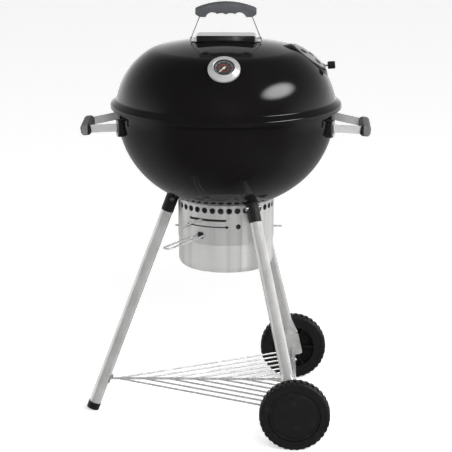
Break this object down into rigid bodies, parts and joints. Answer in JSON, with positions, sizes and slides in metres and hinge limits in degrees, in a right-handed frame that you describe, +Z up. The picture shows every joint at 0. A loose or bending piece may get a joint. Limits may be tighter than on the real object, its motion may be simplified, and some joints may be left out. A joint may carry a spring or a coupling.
{
  "type": "kettle charcoal grill",
  "caption": "Kettle charcoal grill on a wheeled tubular stand, with a domed lid, thermometer, damper, side handles, removable ash pot, ash sweeper and wire storage rack.",
  "frame": {"origin": "on the floor, on the bowl's vertical axis, which is the middle of the overall width and depth", "axes": "+Z up; +X from the single leg to the axle; -Y the front, where the thermometer faces"},
  "size_m": [0.725, 0.639, 1.0645],
  "materials": {
    "enamel": "gloss porcelain enamel",
    "dark_grip": "fine-grained satin",
    "grey_grip": "fine-grained satin",
    "black_plastic": "satin",
    "wheel_plastic": "matte",
    "polished_steel": "polished",
    "satin_steel": "brushed",
    "satin_aluminium": "satin",
    "wire": "bright plated",
    "dark_steel": "plain",
    "dial": "matt print",
    "needle": "matt",
    "glass": "clear"
  },
  "bodies": {
    "stand": {"bowl": "enamel", "right_handle_strap": "satin_steel", "left_handle_strap": "satin_steel", "right_handle_grip": "grey_grip", "left_handle_grip": "grey_grip", "right_handle_brackets": "black_plastic", "left_handle_brackets": "black_plastic", "handle_rivets": "satin_steel", "ash_collar": "satin_steel", "collar_rivets": "satin_steel", "latch_wire": "wire", "left_leg": "polished_steel", "front_wheel_leg": "polished_steel", "back_wheel_leg": "polished_steel", "left_socket": "black_plastic", "front_socket": "black_plastic", "back_socket": "black_plastic", "socket_bolts": "polished_steel", "socket_nuts": "polished_steel", "foot_cap": "black_plastic", "axle": "polished_steel", "axle_push_nuts": "satin_steel", "storage_rack": "wire", "rack_screw": "polished_steel", "grate_tabs": "enamel"},
    "lid": {"lid_shell": "enamel", "lid_handle_grip": "dark_grip", "lid_handle_straps": "polished_steel", "lid_heat_shield": "polished_steel", "heat_shield_pins": "polished_steel", "lid_handle_bolts": "polished_steel", "lid_handle_nuts": "polished_steel", "thermometer_case": "black_plastic", "thermometer_bezel": "satin_steel", "thermometer_dial": "dial", "thermometer_needle": "needle", "thermometer_glass": "glass", "thermometer_probe": "satin_steel", "thermometer_nut": "satin_steel", "damper_rivet": "satin_aluminium"},
    "damper": {"damper_disc": "satin_aluminium", "damper_stem": "polished_steel", "damper_knob": "black_plastic"},
    "sweeper": {"sweeper_blades": "satin_aluminium", "sweeper_shaft": "satin_steel", "sweeper_lever": "wire"},
    "ash_pot": {"ash_pot": "satin_steel"},
    "front_wheel": {"front_wheel": "wheel_plastic", "front_hubcap": "wheel_plastic"},
    "back_wheel": {"back_wheel": "wheel_plastic", "back_hubcap": "wheel_plastic"},
    "cooking_grate": {"cooking_grate": "wire"},
    "charcoal_grate": {"charcoal_grate": "dark_steel"}
  },
  "joints": [
    {"name": "lid_lift", "type": "slide", "parent": "stand", "child": "lid", "axis": [0, 0, 1], "range_m": [0, 0.35]},
    {"name": "damper_turn", "type": "hinge", "parent": "lid", "child": "damper", "pos_m": [0.21051, 0, 0.93061], "axis": [0.5878, 0, 0.809], "range_deg": [0, 45]},
    {"name": "sweeper_turn", "type": "hinge", "parent": "stand", "child": "sweeper", "pos_m": [0, 0, 0.533], "axis": [0, 0, 1], "range_deg": [-14, 28]},
    {"name": "ash_pot_drop", "type": "slide", "parent": "stand", "child": "ash_pot", "axis": [0, 0, -1], "range_m": [0, 0.25]},
    {"name": "front_wheel_spin", "type": "hinge", "parent": "stand", "child": "front_wheel", "pos_m": [0.175, -0.297, 0.0874], "axis": [0, 1, 0], "continuous": true},
    {"name": "back_wheel_spin", "type": "hinge", "parent": "stand", "child": "back_wheel", "pos_m": [0.175, 0.297, 0.0874], "axis": [0, 1, 0], "continuous": true},
    {"name": "cooking_grate_lift", "type": "slide", "parent": "stand", "child": "cooking_grate", "axis": [0, 0, 1], "range_m": [0, 0.045]},
    {"name": "charcoal_grate_lift", "type": "slide", "parent": "stand", "child": "charcoal_grate", "axis": [0, 0, 1], "range_m": [0, 0.1]}
  ]
}
